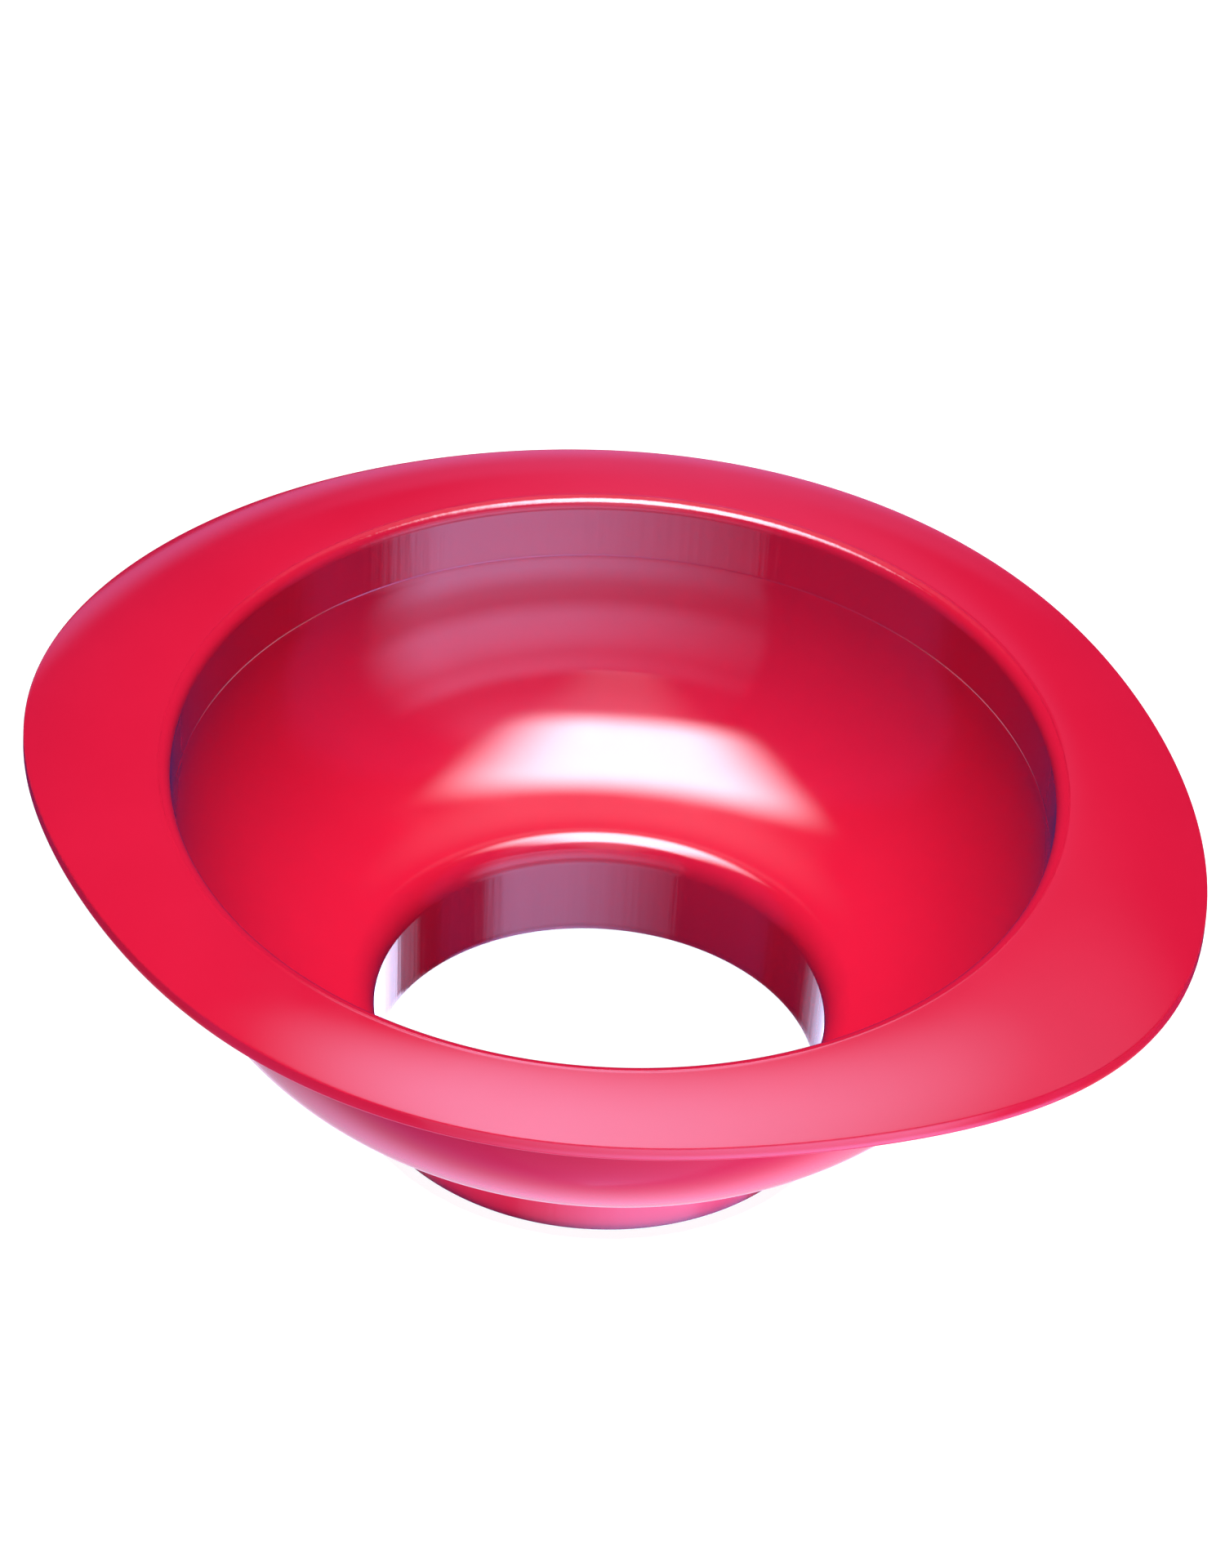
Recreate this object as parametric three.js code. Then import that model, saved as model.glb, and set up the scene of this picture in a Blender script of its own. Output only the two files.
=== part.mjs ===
// A wide-neck jar funnel, moulded in one piece of glossy red plastic: an oval, crowned brim,
// a straight band under the mouth's rounded lip, a round bowl and a short open neck.
// The moulding is drawn as its four sections, which meet at the lines that show on the real one.
// Millimetres, +Z up. The neck's open end stands on Z = 0, its axis is the Z axis,
// and the brim's long axis lies along X.

import * as THREE from 'three';

// Driving sizes: radii and lengths in millimetres, angles in degrees.
const mouthRadius = 50;       // inside radius of the mouth, just under the lip
const lipRound = 1.35;        // rounding of the lip, from the mouth out to the brim's seam line
const bandDepth = 7.9;        // from the brim's level down to the crease where the bowl starts
const bowlRound = 24;         // inside radius of the bowl's curved side
const throatRound = 3.4;      // rounding where the bowl's floor turns down into the neck
const neckBore = 25.55;       // radius of the bore at the neck's open end
const neckLength = 9.5;       // straight neck below the throat's rounding
const wall = 2;               // wall thickness of the band, bowl and neck
const draft = 2;              // mould draft of the band and of the neck, from the vertical

const brimThickness = 1.8;    // thickness of the brim, square to its surface
const brimOverhang = 10.8;    // brim beyond the seam line, along its round sides
const earReach = 7.4;         // extra reach of the brim at each end of its long axis
const earSharpness = 5.5;     // how fast the ears fade into the round sides
const crownRadius = 36.3;     // the brim's surface falls away from the seam line on this radius
const edgeRound = 0.45;       // rounding of the brim's outer edge, above and below
const rootRound = 1.5;        // fillet under the brim, where it meets the band
const rootLand = 0.2;         // thickness left at the thin rim of that fillet

const seamGap = 0.3;          // clearance between neighbouring sections
const turns = 72;             // facets around the axis

// Sizes that follow from the driving sizes. Heights are measured from the brim's level, downwards negative.
const radians = THREE.MathUtils.degToRad;
const taper = Math.tan(radians(draft));
const seamRadius = mouthRadius + lipRound;
const bandBase = mouthRadius - taper * (bandDepth - lipRound);
const bowlCentre = bandBase - bowlRound;
const throatBore = neckBore + taper * neckLength;
const throatCentre = throatBore + throatRound;
const throatSpread = Math.max(0, throatCentre - bowlCentre);
const throatDrop = Math.sqrt((bowlRound + throatRound) ** 2 - throatSpread ** 2);
const throatLevel = -bandDepth - throatDrop;
const neckEnd = throatLevel - neckLength;
const shoulderLevel = -brimThickness - seamGap;

// Points along a circular arc, both ends included. Angles in radians, from the +X direction.
function arc(centreX, centreY, radius, from, to, steps) {
  const points = [];
  for (let i = 0; i <= steps; i++) {
    const angle = THREE.MathUtils.lerp(from, to, i / steps);
    points.push(new THREE.Vector2(centreX + radius * Math.cos(angle), centreY + radius * Math.sin(angle)));
  }
  return points;
}

// Turns a closed profile (radius, height) about the Z axis, and stands it on the neck's end.
function turned(profile) {
  const geometry = new THREE.LatheGeometry([...profile, profile[0].clone()], turns);
  geometry.rotateX(Math.PI / 2);
  geometry.translate(0, 0, -neckEnd);
  return geometry;
}

// The mouth's rounded lip, the straight band under it and the shoulder that the brim sits on.
function bandProfile() {
  const outerAt = (level) => mouthRadius + wall + taper * (level + lipRound);
  const rootTop = shoulderLevel - rootLand;
  const rootBottom = rootTop - rootRound;
  const rootCentre = outerAt(rootBottom) + rootRound;
  return [
    new THREE.Vector2(bandBase, -bandDepth),
    new THREE.Vector2(outerAt(-bandDepth), -bandDepth),
    ...arc(rootCentre, rootBottom, rootRound, Math.PI, Math.PI / 2, 4),
    new THREE.Vector2(rootCentre, shoulderLevel),
    new THREE.Vector2(seamRadius, shoulderLevel),
    ...arc(seamRadius, -lipRound, lipRound, Math.PI / 2, Math.PI, 5),
  ];
}

// The bowl's side curves in to the throat's rounding; its outside is the same line, one wall away.
function bowlProfile() {
  const meeting = Math.acos(throatSpread / (bowlRound + throatRound));
  const side = (offset, steps) => {
    const radius = bowlRound + offset;
    return arc(bowlCentre, -bandDepth, radius, -Math.asin(seamGap / radius), -meeting, steps);
  };
  const throat = (offset, steps) =>
    arc(throatCentre, throatLevel, throatRound - offset, Math.PI - meeting, Math.PI, steps);
  return [...side(wall, 9), ...throat(wall, 4), ...throat(0, 4).reverse(), ...side(0, 9).reverse()].reverse();
}

// A straight tube with the bore's draft inside and out.
function neckProfile() {
  const top = throatLevel - seamGap;
  const topBore = throatBore - taper * seamGap;
  return [
    new THREE.Vector2(neckBore, neckEnd),
    new THREE.Vector2(neckBore + wall, neckEnd),
    new THREE.Vector2(topBore + wall, top),
    new THREE.Vector2(topBore, top),
  ];
}

// The brim's section along its round sides, drawn flat: its top on height 0, its underside one thickness below.
const brimInner = seamRadius + seamGap;
const brimOuter = seamRadius + brimOverhang;
const brimFlat = brimOuter - edgeRound;

function brimProfile() {
  const across = [];
  for (let i = 0; i < 6; i++) across.push(THREE.MathUtils.lerp(brimInner, brimFlat, i / 6));
  return [
    ...across.map((radius) => new THREE.Vector2(radius, -brimThickness)),
    ...arc(brimFlat, edgeRound - brimThickness, edgeRound, -Math.PI / 2, 0, 2),
    ...arc(brimFlat, -edgeRound, edgeRound, 0, Math.PI / 2, 2),
    ...across.map((radius) => new THREE.Vector2(radius, 0)).reverse(),
  ];
}

// Height of the crowned surface at a radius; depth is measured square to the top surface.
function crownLevel(radius, depth) {
  const run = radius - seamRadius;
  return Math.sqrt((crownRadius - depth) ** 2 - run ** 2) - crownRadius;
}

// Pulls the turned brim out into its two ears and lays it over the crown. The rounded edge keeps its size.
function shapeBrim(geometry) {
  const position = geometry.getAttribute('position');
  for (let i = 0; i < position.count; i++) {
    const x = position.getX(i);
    const y = position.getY(i);
    const flatRadius = Math.hypot(x, y);
    const depth = -neckEnd - position.getZ(i);
    const ear = earReach * Math.abs(x / flatRadius) ** earSharpness;
    const share = Math.min(1, (flatRadius - brimInner) / (brimFlat - brimInner));
    const radius = flatRadius + ear * share;
    const scale = radius / flatRadius;
    position.setXYZ(i, x * scale, y * scale, crownLevel(radius, depth) - neckEnd);
  }
  geometry.computeVertexNormals();
  return geometry;
}

const red = 0xd9183c;

function section(name, geometry) {
  const material = new THREE.MeshStandardMaterial({ color: red, roughness: 0.14, metalness: 0 });
  const mesh = new THREE.Mesh(geometry, material);
  mesh.name = name;
  return mesh;
}

const funnel = new THREE.Group();
funnel.add(section('brim', shapeBrim(turned(brimProfile()))));
funnel.add(section('mouth_band', turned(bandProfile())));
funnel.add(section('bowl', turned(bowlProfile())));
funnel.add(section('neck', turned(neckProfile())));

export default funnel;
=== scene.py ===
"""Looks for the wide-neck jar funnel: one glossy red moulding, shown as its four sections.

The sections are turned meshes of the CAD model's outline, fine enough for clean reflections. They add a
parting line round the mouth, a groove at the crease, and a sharper upper edge on the brim.
Metres, +Z up, with the brim's long axis along X and the neck's open end on Z = 0.
"""

import math

import bpy
from mathutils import Euler, Matrix, Vector


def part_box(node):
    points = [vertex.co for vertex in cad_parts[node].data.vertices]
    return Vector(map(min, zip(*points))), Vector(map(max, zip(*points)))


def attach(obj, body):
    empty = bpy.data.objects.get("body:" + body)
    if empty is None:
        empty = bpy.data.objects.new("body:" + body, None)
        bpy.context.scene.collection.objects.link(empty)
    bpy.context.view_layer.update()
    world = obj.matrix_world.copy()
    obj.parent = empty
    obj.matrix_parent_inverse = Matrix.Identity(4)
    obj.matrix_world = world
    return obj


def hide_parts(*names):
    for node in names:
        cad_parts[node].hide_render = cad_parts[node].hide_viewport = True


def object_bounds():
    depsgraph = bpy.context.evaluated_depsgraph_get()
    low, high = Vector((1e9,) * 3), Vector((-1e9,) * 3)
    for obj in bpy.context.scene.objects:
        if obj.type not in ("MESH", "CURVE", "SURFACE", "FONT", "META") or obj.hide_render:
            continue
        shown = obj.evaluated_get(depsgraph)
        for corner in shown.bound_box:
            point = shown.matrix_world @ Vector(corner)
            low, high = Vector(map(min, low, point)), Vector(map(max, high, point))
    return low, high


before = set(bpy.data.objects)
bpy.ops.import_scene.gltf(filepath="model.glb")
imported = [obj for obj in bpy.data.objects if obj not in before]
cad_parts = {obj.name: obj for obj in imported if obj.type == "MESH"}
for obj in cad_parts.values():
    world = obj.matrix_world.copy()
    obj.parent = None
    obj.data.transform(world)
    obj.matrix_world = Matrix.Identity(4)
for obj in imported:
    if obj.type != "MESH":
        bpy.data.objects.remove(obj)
cad_low, cad_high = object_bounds()

MM = 0.001
DEGREE = 180 / math.pi     # degrees in a radian

# Sizes of the moulding that the frame's boxes don't give.
MOUTH_RADIUS = 50 * MM
LIP_ROUND = 1.35 * MM
BOWL_ROUND = 24 * MM
THROAT_ROUND = 3.4 * MM
NECK_BORE = 25.55 * MM
WALL = 2 * MM
DRAFT = math.radians(2)
BRIM_THICKNESS = 1.8 * MM
CROWN_RADIUS = 36.3 * MM
EAR_SHARPNESS = 5.5
EDGE_ROUND = 0.45 * MM
TOP_EDGE_ROUND = 0.15 * MM
ROOT_ROUND = 1.5 * MM
ROOT_LAND = 0.06 * MM      # thickness left at the thin rim of the fillet under the brim
NECK_EDGE_ROUND = 0.25 * MM

# The crease under the band is a fine groove.
GROOVE_DEPTH = 0.05 * MM
GROOVE_REACH = 0.3 * MM

# The parting line round the mouth is a fine raised line.
LINE_WIDTH = 0.3 * MM
LINE_HEIGHT = 0.06 * MM
LINE_EDGE = 83.6           # degrees up the lip, where the line's inner half ends

# Levels and reaches that come from the CAD sections.
brim_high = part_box("brim")[1]
mouth_level = cad_high.z - LINE_HEIGHT      # the parting line's crest is the funnel's highest point
neck_end = cad_low.z
crease_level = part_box("mouth_band")[0].z
throat_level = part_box("bowl")[0].z
side_reach = brim_high.y
ear_reach = brim_high.x - brim_high.y

seam_radius = MOUTH_RADIUS + LIP_ROUND
band_base = MOUTH_RADIUS - math.tan(DRAFT) * (mouth_level - LIP_ROUND - crease_level)
bowl_centre = band_base - BOWL_ROUND
throat_bore = NECK_BORE + math.tan(DRAFT) * (throat_level - neck_end)
throat_centre = throat_bore + THROAT_ROUND

TURNS = 288


# ---------------------------------------------------------------- outlines

def arc(centre, radius, start, end, steps):
    """Points (radius, level) along a circular arc, both ends included. Angles in degrees."""
    points = []
    for i in range(steps + 1):
        angle = math.radians(start + (end - start) * i / steps)
        points.append((centre[0] + radius * math.cos(angle), centre[1] + radius * math.sin(angle)))
    return points


def line(start, end, steps):
    """Points along a straight line, both ends included."""
    return [
        (start[0] + (end[0] - start[0]) * i / steps, start[1] + (end[1] - start[1]) * i / steps)
        for i in range(steps + 1)
    ]


def crown_level(radius, depth):
    """Height of the brim's crowned surface at a radius; depth is measured square to its top."""
    run = radius - seam_radius
    return mouth_level - CROWN_RADIUS + math.sqrt((CROWN_RADIUS - depth) ** 2 - run ** 2)


def parting_line(radius, angle):
    """Height of the fine raised line round the mouth. It is a little uneven, as real ones are."""
    across = abs(radius - seam_radius) / (LINE_WIDTH / 2)
    uneven = 0.8 + 0.12 * math.sin(29 * angle) * math.sin(67 * angle + 1) + 0.08 * math.sin(11 * angle)
    return LINE_HEIGHT * uneven * max(0.0, 1 - across ** 2)


def brim_outline():
    """The brim's section along its round sides, drawn flat on height 0. It is bent over the crown later."""
    flat_end = side_reach - EDGE_ROUND
    line_end = seam_radius + LINE_WIDTH / 2
    return [
        *line((seam_radius, -BRIM_THICKNESS), (flat_end, -BRIM_THICKNESS), 28),
        *arc((flat_end, EDGE_ROUND - BRIM_THICKNESS), EDGE_ROUND, -90, 0, 8)[1:],
        *arc((side_reach - TOP_EDGE_ROUND, -TOP_EDGE_ROUND), TOP_EDGE_ROUND, 0, 90, 6),
        *line((side_reach - TOP_EDGE_ROUND, 0), (line_end, 0), 36)[1:],
        *line((line_end, 0), (seam_radius, 0), 5)[1:],
    ]


def band_outline():
    """The mouth's rounded lip, the straight band and the fillet under the brim."""
    def outer(level):
        return MOUTH_RADIUS + WALL + math.tan(DRAFT) * (level - mouth_level + LIP_ROUND)

    under_brim = mouth_level - BRIM_THICKNESS
    fillet_level = under_brim - ROOT_ROUND - ROOT_LAND
    fillet_centre = (outer(fillet_level) + ROOT_ROUND, fillet_level)
    lip_centre = (seam_radius, mouth_level - LIP_ROUND)
    groove_start = (band_base + math.tan(DRAFT) * GROOVE_REACH, crease_level + GROOVE_REACH)
    return [
        *line((band_base + GROOVE_DEPTH, crease_level), (outer(crease_level), crease_level), 3),
        *line((outer(crease_level), crease_level), (outer(fillet_level), fillet_level), 6)[1:],
        *arc(fillet_centre, ROOT_ROUND, 180, 90, 14)[1:],
        *line((fillet_centre[0], under_brim), (seam_radius, under_brim), 3),
        *line((seam_radius, under_brim), (seam_radius, mouth_level), 3)[1:],
        *arc(lip_centre, LIP_ROUND, 90, LINE_EDGE, 5)[1:],
        *arc(lip_centre, LIP_ROUND, LINE_EDGE, 180, 26)[1:],
        *line((MOUTH_RADIUS, lip_centre[1]), groove_start, 12)[1:],
        (groove_start[0], groove_start[1] - GROOVE_REACH / 4),
    ]


def bowl_outline():
    """The bowl's round side and the throat's rounding. The outside is the same line, one wall away."""
    side_centre = (bowl_centre, crease_level)
    floor_centre = (throat_centre, throat_level)
    meeting = math.degrees(math.acos((throat_centre - bowl_centre) / (BOWL_ROUND + THROAT_ROUND)))

    def skin(offset):
        return [
            (band_base + (offset or GROOVE_DEPTH), crease_level),
            *arc(side_centre, BOWL_ROUND + offset, 0, -meeting, 84)[1:],
            *arc(floor_centre, THROAT_ROUND - offset, 180 - meeting, 180, 30)[1:],
        ]

    return [*skin(0), *reversed(skin(WALL))]


def neck_outline():
    """The short straight neck, with the edges of its open end just broken."""
    slope = math.tan(DRAFT) * NECK_EDGE_ROUND
    inner = (NECK_BORE + NECK_EDGE_ROUND, neck_end + NECK_EDGE_ROUND)
    outer = (NECK_BORE + WALL - NECK_EDGE_ROUND, neck_end + NECK_EDGE_ROUND)
    return [
        *arc(inner, NECK_EDGE_ROUND, 180, 270, 6),
        *arc(outer, NECK_EDGE_ROUND, 270, 360, 6),
        *line((outer[0] + NECK_EDGE_ROUND + slope, outer[1]), (throat_bore + WALL, throat_level), 10)[1:],
        *line((throat_bore + WALL, throat_level), (throat_bore, throat_level), 3)[1:],
        *line((throat_bore, throat_level), (inner[0] - NECK_EDGE_ROUND + slope, inner[1]), 10)[1:-1],
    ]


# ---------------------------------------------------------------- meshes

def on_crown(radius, height, angle):
    """Pulls a point of the flat brim out into the ears and lays it over the crown."""
    flat_end = side_reach - EDGE_ROUND
    share = min(1.0, (radius - seam_radius) / (flat_end - seam_radius))
    reach = radius + ear_reach * abs(math.cos(angle)) ** EAR_SHARPNESS * share
    level = crown_level(reach, -height)
    if height == 0:
        level += parting_line(reach, angle)
    return reach, level


def on_lip(radius, level, angle):
    """Adds the inner half of the parting line to the top of the lip."""
    if level > mouth_level - LIP_ROUND / 2:
        level += parting_line(radius, angle)
    return radius, level


def as_drawn(radius, level, _angle):
    return radius, level


def turned(name, outline, place=as_drawn):
    """A closed mesh: the outline turned about the Z axis, each point put in place by its angle."""
    count = len(outline)
    points, faces = [], []
    for turn in range(TURNS):
        angle = 2 * math.pi * turn / TURNS
        for radius, level in outline:
            reach, height = place(radius, level, angle)
            points.append((reach * math.cos(angle), reach * math.sin(angle), height))
        here, there = turn * count, (turn + 1) % TURNS * count
        for i in range(count):
            j = (i + 1) % count
            faces.append((here + i, there + i, there + j, here + j))
    mesh = bpy.data.meshes.new(name)
    mesh.from_pydata(points, [], faces)
    mesh.shade_smooth()
    mesh.set_sharp_from_angle(angle=math.radians(35))
    piece = bpy.data.objects.new(name, mesh)
    bpy.context.scene.collection.objects.link(piece)
    return piece


# ---------------------------------------------------------------- materials and node graphs

class Graph:
    """Adds linked nodes to a node tree."""

    def __init__(self, tree):
        self.tree = tree
        tree.nodes.clear()

    def add(self, kind, inputs=(), **settings):
        node = self.tree.nodes.new(kind)
        for name, value in settings.items():
            setattr(node, name, value)
        for name, value in dict(inputs).items():
            if isinstance(value, bpy.types.NodeSocket):
                self.tree.links.new(value, node.inputs[name])
            else:
                node.inputs[name].default_value = value
        return node

    def math(self, operation, *values):
        return self.add("ShaderNodeMath", dict(enumerate(values)), operation=operation).outputs[0]

    def times(self, first, *others):
        """The product of several values."""
        for other in others:
            first = self.math("MULTIPLY", first, other)
        return first

    def away_from(self, value, centre):
        """How far a value is from a centre, to either side."""
        return self.math("ABSOLUTE", self.math("SUBTRACT", value, centre))

    def step(self, value, start, end, low=0.0, high=1.0):
        """Goes smoothly from low to high as the value goes from start to end."""
        inputs = {"Value": value, "From Min": start, "From Max": end, "To Min": low, "To Max": high}
        return self.add("ShaderNodeMapRange", inputs, interpolation_type="SMOOTHSTEP").outputs[0]

    def step_even(self, value, start, end):
        """Goes evenly from 0 to 1 as the value goes from start to end."""
        inputs = {"Value": value, "From Min": start, "From Max": end}
        return self.add("ShaderNodeMapRange", inputs).outputs[0]

    def noise(self, vector, scale, detail):
        inputs = {"Vector": vector, "Scale": scale, "Detail": detail}
        return self.add("ShaderNodeTexNoise", inputs).outputs[0]

    def tint(self, strength, colour):
        """A colour times a strength."""
        inputs = {0: colour, "Scale": strength}
        return self.add("ShaderNodeVectorMath", inputs, operation="SCALE").outputs[0]

    def plus(self, first, second):
        """The sum of two colours."""
        return self.add("ShaderNodeVectorMath", {0: first, 1: second}, operation="ADD").outputs[0]


# The plastic's reds, the range of its roughness, and its fine relief. Noise scales are per metre.
DEEP_RED = (0.51, 0.0058, 0.028, 1)
LIGHT_RED = (0.57, 0.0089, 0.037, 1)
SMOOTHEST, ROUGHEST = 0.065, 0.115
CLOUD_SCALE = 45.0
PATCH_SCALE = 160.0
RIPPLE_SCALE = 300.0
RIPPLE_DEPTH = 0.0015 * MM
MARK_SCALE = 900.0
MARK_STRETCH = (1.0, 1.0, 0.02)
MARK_DEPTH = 0.03 * MM


def moulded_plastic(name, draw_marks=False):
    """Hard glossy red plastic. draw_marks adds the fine upright marks that the mould leaves as it opens."""
    material = bpy.data.materials.new(name)
    material.use_nodes = True
    graph = Graph(material.node_tree)
    place = graph.add("ShaderNodeTexCoord").outputs["Object"]

    clouds = graph.noise(place, CLOUD_SCALE, 3.0)
    red = graph.add("ShaderNodeMixRGB", {"Fac": clouds, "Color1": DEEP_RED, "Color2": LIGHT_RED}).outputs[0]

    patches = graph.noise(place, PATCH_SCALE, 4.0)
    roughness = graph.add("ShaderNodeMapRange", {
        "Value": patches, "From Min": 0.3, "From Max": 0.7, "To Min": SMOOTHEST, "To Max": ROUGHEST,
    }).outputs[0]

    ripple = graph.noise(place, RIPPLE_SCALE, 1.0)
    normal = graph.add("ShaderNodeBump", {"Height": ripple, "Distance": RIPPLE_DEPTH}).outputs[0]
    if draw_marks:
        drawn = graph.add("ShaderNodeMapping", {"Vector": place, "Scale": MARK_STRETCH}).outputs[0]
        marks = graph.noise(drawn, MARK_SCALE, 3.0)
        bump = {"Height": marks, "Distance": MARK_DEPTH, "Normal": normal}
        normal = graph.add("ShaderNodeBump", bump).outputs[0]

    surface = graph.add("ShaderNodeBsdfPrincipled", {
        "Base Color": red, "Roughness": roughness, "IOR": 1.5, "Normal": normal,
    })
    graph.add("ShaderNodeOutputMaterial", {"Surface": surface.outputs[0]})
    return material


def pale_floor():
    """A plain white surface, bright enough by itself that shadows on it stay faint."""
    material = bpy.data.materials.new("pale_floor")
    material.use_nodes = True
    graph = Graph(material.node_tree)
    surface = graph.add("ShaderNodeBsdfPrincipled", {
        "Base Color": (0.15, 0.15, 0.15, 1), "Roughness": 0.8, "Specular IOR Level": 0.0,
        "Emission Color": (0.98, 0.98, 1.0, 1), "Emission Strength": 0.95,
    })
    graph.add("ShaderNodeOutputMaterial", {"Surface": surface.outputs[0]})
    return material


def light_card(name, make_light):
    """A clear sheet that gives off light. make_light(graph, place) returns the colour at a place on it."""
    material = bpy.data.materials.new(name)
    material.use_nodes = True
    graph = Graph(material.node_tree)
    place = graph.add("ShaderNodeTexCoord").outputs["Object"]
    shine = graph.add("ShaderNodeEmission", {"Color": make_light(graph, place), "Strength": 1.0})
    clear = graph.add("ShaderNodeBsdfTransparent")
    both = graph.add("ShaderNodeAddShader", {0: shine.outputs[0], 1: clear.outputs[0]})
    graph.add("ShaderNodeOutputMaterial", {"Surface": both.outputs[0]})
    return material


# ---------------------------------------------------------------- the funnel

def finish_piece(piece, node, material):
    """Gives a piece its material and its place in the frame. The other pieces' gloss doesn't mirror it."""
    piece.data.materials.append(material)
    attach(piece, "root")
    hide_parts(node)
    piece.visible_glossy = False
    return piece


def make_funnel():
    plain = moulded_plastic("red_plastic")
    drawn = moulded_plastic("red_plastic_drawn", draw_marks=True)
    return [
        finish_piece(turned("brim_shell", brim_outline(), on_crown), "brim", plain),
        finish_piece(turned("mouth_band_shell", band_outline(), on_lip), "mouth_band", drawn),
        finish_piece(turned("bowl_shell", bowl_outline()), "bowl", plain),
        finish_piece(turned("neck_shell", neck_outline()), "neck", drawn),
    ]


# ---------------------------------------------------------------- camera and studio

# The camera stands this far round from the -Y side, towards +X. It aims at a point at the mouth's level,
# given as distances from the axis to the right and away from the camera.
VIEW_TURN = math.radians(24.7)
VIEW_RISE = math.radians(39.1)
VIEW_ROLL = math.radians(3.64)
VIEW_DISTANCE = 1.1546
VIEW_AIM = (-0.12 * MM, -2.01 * MM)
LENS = 235.5

# The studio's own directions, seen from the camera: to its right, and away from it.
to_right = Vector((math.cos(VIEW_TURN), math.sin(VIEW_TURN), 0))
to_back = Vector((-math.sin(VIEW_TURN), math.cos(VIEW_TURN), 0))
up = Vector((0, 0, 1))


def make_camera():
    forward = math.cos(VIEW_RISE) * to_back - math.sin(VIEW_RISE) * up
    above = to_right.cross(forward)
    right = math.cos(VIEW_ROLL) * to_right + math.sin(VIEW_ROLL) * above
    top = -math.sin(VIEW_ROLL) * to_right + math.cos(VIEW_ROLL) * above
    aim = VIEW_AIM[0] * to_right + VIEW_AIM[1] * to_back + mouth_level * up

    data = bpy.data.cameras.new("camera")
    data.lens = LENS
    data.clip_end = 20
    camera = bpy.data.objects.new("camera", data)
    bpy.context.scene.collection.objects.link(camera)
    turn = Matrix((right, top, -forward)).transposed()
    camera.matrix_world = Matrix.Translation(aim - VIEW_DISTANCE * forward) @ turn.to_4x4()
    bpy.context.scene.camera = camera


def stage_object(name, mesh, centre, turn=0.0, tilt=0.0):
    """Puts a flat mesh in the studio. The camera doesn't see it, and it casts no shadow."""
    sheet = bpy.data.objects.new(name, mesh)
    sheet.location = centre
    sheet.rotation_euler = Euler((tilt, 0, turn))
    sheet.visible_camera = False
    sheet.visible_shadow = False
    bpy.context.scene.collection.objects.link(sheet)
    return sheet


def plane(name, width, centre, turn=0.0, tilt=0.0):
    """A square sheet in the studio."""
    reach = width / 2
    corners = [(-reach, -reach, 0), (reach, -reach, 0), (reach, reach, 0), (-reach, reach, 0)]
    mesh = bpy.data.meshes.new(name)
    mesh.from_pydata(corners, [], [(0, 1, 2, 3)])
    return stage_object(name, mesh, centre, turn, tilt)


# The floor and the bounce card lie just under the neck's end, so that nothing lies in the same plane.
FLOOR_WIDTH = 12
FLOOR_DEPTH = 0.05 * MM
BOUNCE_DEPTH = 0.03 * MM


def make_floor():
    floor = plane("floor", FLOOR_WIDTH, (neck_end - FLOOR_DEPTH) * up)
    floor.data.materials.append(pale_floor())
    floor.visible_camera = True
    floor.visible_glossy = False
    floor.visible_diffuse = False


def light_only(source, pieces):
    """Keeps the light of a lamp or card to the given pieces."""
    receivers = bpy.data.collections.new(source.name)
    for piece in pieces:
        receivers.objects.link(piece)
    source.light_linking.receiver_collection = receivers


def hang_lamp(name, size, power, place):
    """A round soft lamp that points straight down. Gloss doesn't mirror it."""
    data = bpy.data.lights.new(name, "AREA")
    data.shape = "DISK"
    data.size = size
    data.energy = power
    lamp = bpy.data.objects.new(name, data)
    lamp.location = place
    lamp.visible_glossy = False
    bpy.context.scene.collection.objects.link(lamp)
    return lamp


# The key light hangs this far over the floor, and this far from the axis towards the camera.
KEY_HEIGHT = 0.9
KEY_NEARER = 0.1


def make_key_light():
    """Soft light from overhead for the plastic's body. Its gloss mirrors the cards instead."""
    hang_lamp("key_light", size=1.2, power=16.7, place=KEY_HEIGHT * up - KEY_NEARER * to_back)


def make_rim_fill(brim):
    """Soft light from low in front, a little to the left, for the upright face of the brim's rim."""
    direction = (-0.4 * to_right - 0.9 * to_back).normalized()
    lamp = hang_lamp("rim_fill", size=0.5, power=3.6, place=direction + mouth_level * up)
    lamp.rotation_euler = direction.to_track_quat("Z", "Y").to_euler()
    light_only(lamp, [brim])


def hang_card(name, size, centre, make_light, pieces, tilt=0.0):
    """A light card that only the gloss of the given pieces mirrors."""
    card = plane(name, size, centre, VIEW_TURN, tilt)
    card.data.materials.append(light_card(name, make_light))
    card.visible_diffuse = False
    light_only(card, pieces)


# Cards lie in the studio's own directions: x to the right, y to the back, in metres.
# No two lie in the same plane.
SOFTBOX_HEIGHT = 0.65
SOFTBOX_POWER = 24.0
SOFTBOX_CENTRE = (-0.045, -0.115)
SOFTBOX_HALF = (0.245, 0.227)
SOFTBOX_EDGE = (0.16, 0.10)


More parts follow.
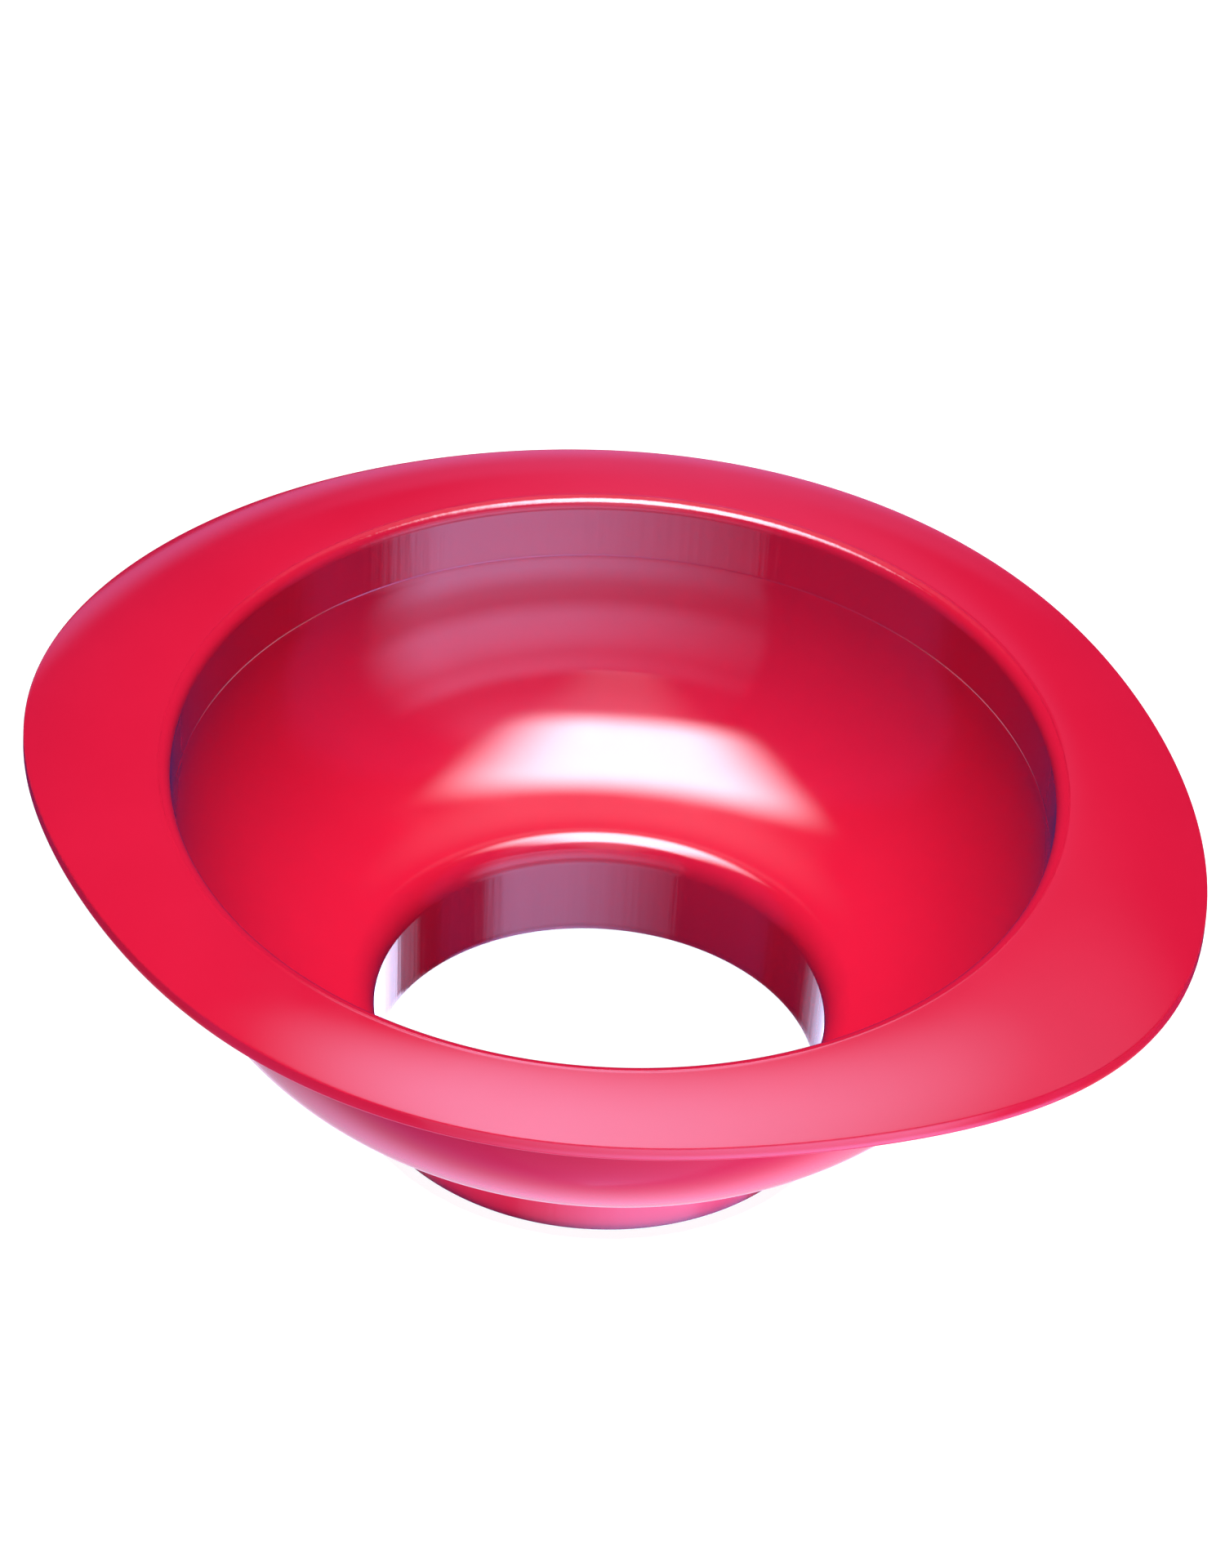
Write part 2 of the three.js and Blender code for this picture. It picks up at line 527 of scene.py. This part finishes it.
def softbox_light(graph, place):
    """An even panel with soft edges, and a faint glow along the middle that ends beyond it."""
    axes = graph.add("ShaderNodeSeparateXYZ", {0: place}).outputs
    panel = SOFTBOX_POWER
    for axis, centre, half, edge in zip(axes, SOFTBOX_CENTRE, SOFTBOX_HALF, SOFTBOX_EDGE):
        off = graph.away_from(axis, centre)
        panel = graph.times(panel, graph.step(off, half - edge, half + edge, 1.0, 0.0))
    middle = graph.step(graph.math("ABSOLUTE", axes[0]), 0.05, 0.3, 1.0, 0.0)
    glow = graph.times(graph.step(axes[1], 0.3, 0.6, 1.1, 0.0), middle)
    return graph.tint(graph.math("ADD", panel, glow), (0.9, 1.0, 1.15))


BRIM_GLOW_HEIGHT = 0.66
BRIM_GLOW_CENTRE = 0.08
BRIM_GLOW_SPREAD = 0.4
BRIM_TAIL = 1.6


def brim_light(graph, place):
    """The broad soft glow on the brim's front. It narrows to the back, and trails off to the right."""
    across, along, _ = graph.add("ShaderNodeSeparateXYZ", {0: place}).outputs
    across = graph.math("DIVIDE", across, graph.step(along, 0.15, 0.75, 1.0, 0.1))
    core = graph.times(graph.step(across, -0.31, -0.06), graph.step(across, -0.1, 0.5, 0.78, 0.0))
    tail = graph.math("EXPONENT", graph.math("DIVIDE", across, -BRIM_TAIL))
    tail = graph.times(tail, graph.step(across, -0.25, 0.0, 0.0, 0.22))
    off = graph.math("DIVIDE", graph.math("SUBTRACT", along, BRIM_GLOW_CENTRE), BRIM_GLOW_SPREAD)
    fade = graph.math("EXPONENT", graph.times(off, off, -0.5))
    fade = graph.times(fade, graph.step(along, -0.15, 0.05), graph.step(along, 0.7, 0.9, 1.0, 0.2))
    return graph.tint(graph.times(graph.math("ADD", core, tail), fade), (3.7, 5.7, 8.6))


FAR_WALL_DISTANCE = 2.0
FAR_WALL_CENTRE = 0.06


def far_wall_light(graph, place):
    """A faint violet wall, brightest just over the horizon and narrower above."""
    across, high, _ = graph.add("ShaderNodeSeparateXYZ", {0: place}).outputs
    off = graph.away_from(across, FAR_WALL_CENTRE)
    off = graph.math("DIVIDE", off, graph.step(high, 0.65, 0.95, 2.0, 1.0))
    wall = graph.times(graph.step(high, 1.4, 1.9, 0.27, 0.0), graph.step(off, 0.0, 0.3, 1.0, 0.0))
    glow = graph.step(high, 0.1, 0.55, 0.35, 0.0)
    both = graph.times(graph.math("ADD", wall, glow), graph.step(high, -0.05, 0.05))
    return graph.tint(both, (0.8, 1.0, 2.3))


NECK_CARD_DEPTH = 0.3


def neck_light(graph, place):
    """Light from beyond and below, in a fan to either side: bright where the neck's left side mirrors it."""
    across, along, _ = graph.add("ShaderNodeSeparateXYZ", {0: place}).outputs
    fan = graph.times(graph.math("ARCTAN2", across, along), DEGREE)
    bright = graph.times(graph.step(fan, -2, 2, 0.0, 3.4), graph.step(fan, 45, 53, 1.0, 0.0))
    dim = graph.times(graph.step(fan, 48, 53, 0.0, 0.5), graph.step(fan, 62, 72, 1.0, 0.0))
    other = graph.times(graph.step(fan, -2, 2, 1.4, 0.0), graph.step(fan, -56, -20))
    total = graph.math("ADD", graph.math("ADD", bright, dim), other)
    return graph.tint(total, (0.95, 1.0, 1.45))


BOUNCE_HOLE = 29 * MM
BOUNCE_REACH = 0.6
BOUNCE_SIDES = 48


def bounce_light(graph, place):
    """Brighter to the right, and close round the neck."""
    dot = graph.add("ShaderNodeVectorMath", {0: place, 1: to_right}, operation="DOT_PRODUCT")
    length = graph.add("ShaderNodeVectorMath", {0: place}, operation="LENGTH")
    near = graph.step(length.outputs["Value"], 0.03, 0.07, 1.7, 1.0)
    right = graph.step(dot.outputs["Value"], -0.08, 0.09, 0.9, 3.0)
    return graph.tint(graph.times(near, right), (1.0, 0.9, 1.0))


def make_bounce_card():
    """A flat ring of light on the floor, for the outside of the bowl and neck. Under the neck it is open."""
    corners, faces = [], []
    for turn in range(BOUNCE_SIDES):
        angle = 2 * math.pi * turn / BOUNCE_SIDES
        direction = math.cos(angle) * to_right + math.sin(angle) * to_back
        corners += [BOUNCE_HOLE * direction, BOUNCE_REACH * direction]
        here, there = 2 * turn, 2 * ((turn + 1) % BOUNCE_SIDES)
        faces.append((here, here + 1, there + 1, there))
    mesh = bpy.data.meshes.new("bounce_card")
    mesh.from_pydata(corners, [], faces)
    card = stage_object("bounce_card", mesh, (neck_end - BOUNCE_DEPTH) * up)
    card.data.materials.append(light_card("bounce_card", bounce_light))
    card.visible_glossy = False


# The bright window behind the camera: elevation in degrees, and brightness there.
WINDOW_BARS = [
    (-60, 0.1), (-46, 0.6), (-40, 0.66), (-32, 1.0), (-26, 0.77), (-20, 0.47), (-11, 0.34), (-1, 0.82),
    (9, 0.72), (16, 0.52), (20, 0.37), (28, 0.47), (34, 0.1), (40, 0.1), (50, 0.2),
]


def window_light(graph, turn, rise):
    """The window's brightness: its bars from low to high, brighter to the right, with soft sides."""
    low, high = WINDOW_BARS[0][0], WINDOW_BARS[-1][0]
    ramp = graph.add("ShaderNodeValToRGB", {"Fac": graph.step_even(rise, low, high)})
    stops = ramp.color_ramp.elements
    for index, (elevation, brightness) in enumerate(WINDOW_BARS):
        position = (elevation - low) / (high - low)
        stop = stops[index] if index < 2 else stops.new(position)
        stop.position = position
        stop.color = (brightness, brightness, brightness, 1)
    sides = graph.times(graph.step(turn, -37, -33), graph.step(turn, 46, 70, 1.0, 0.0))
    return graph.times(sides, graph.step(turn, -45, 28, 0.1, 1.0), ramp.outputs[0])


def make_world():
    """What the gloss mirrors all round: a window behind the camera, and the table in front and behind.

    turn is the direction in degrees, from the camera's side to the right. rise is the elevation.
    """
    world = bpy.data.worlds.new("studio")
    bpy.context.scene.world = world
    world.use_nodes = True
    world.cycles_visibility.diffuse = False
    graph = Graph(world.node_tree)
    direction = graph.add("ShaderNodeTexCoord").outputs["Generated"]
    turned_back = {"Vector": direction, "Rotation": (0, 0, -VIEW_TURN)}
    seen = graph.add("ShaderNodeMapping", turned_back).outputs[0]
    right, back, high = graph.add("ShaderNodeSeparateXYZ", {0: seen}).outputs
    turn = graph.times(graph.math("ARCTAN2", right, graph.times(back, -1.0)), DEGREE)
    rise = graph.times(graph.math("ARCSINE", high), DEGREE)

    window = window_light(graph, turn, rise)
    near_side = graph.step(back, 0.1, -0.1)
    low = graph.times(graph.step(rise, -44, -41, 1.0, 0.0), graph.step(rise, -66, -52))
    table = graph.times(low, near_side, graph.step(turn, -35, 30, 0.15, 1.7))
    under = graph.step(rise, -66, -52, 1.0, 0.0)
    far_table = graph.times(graph.step(back, -0.2, 0.3), graph.step(rise, -41, -49))
    far_table = graph.times(far_table, graph.step(rise, -50, -44, 1.0, 2.2))

    light = graph.plus(graph.tint(window, (2.8, 3.0, 5.4)), graph.tint(table, (0.9, 0.8, 2.0)))
    light = graph.plus(light, graph.tint(under, (0.4, 0.15, 0.5)))
    light = graph.plus(light, graph.tint(far_table, (0.85, 0.7, 0.9)))
    light = graph.plus(light, graph.tint(near_side, (0.05, 0.06, 0.3)))
    light = graph.plus(light, (0.02, 0.02, 0.12))
    background = graph.add("ShaderNodeBackground", {"Color": light, "Strength": 1.0})
    graph.add("ShaderNodeOutputWorld", {"Surface": background.outputs[0]})


make_camera()
brim, band, bowl, neck = make_funnel()
make_floor()
make_key_light()
make_rim_fill(brim)
make_bounce_card()
hang_card("softbox", 2.0, SOFTBOX_HEIGHT * up, softbox_light, [band, bowl, neck])
hang_card("brim_glow", 3.0, BRIM_GLOW_HEIGHT * up, brim_light, [brim])
hang_card("far_wall", 8.0, FAR_WALL_DISTANCE * to_back, far_wall_light, [brim], tilt=math.radians(90))
hang_card("neck_card", 3.0, -NECK_CARD_DEPTH * up, neck_light, [neck])
make_world()
bpy.context.scene.view_settings.view_transform = "Standard"
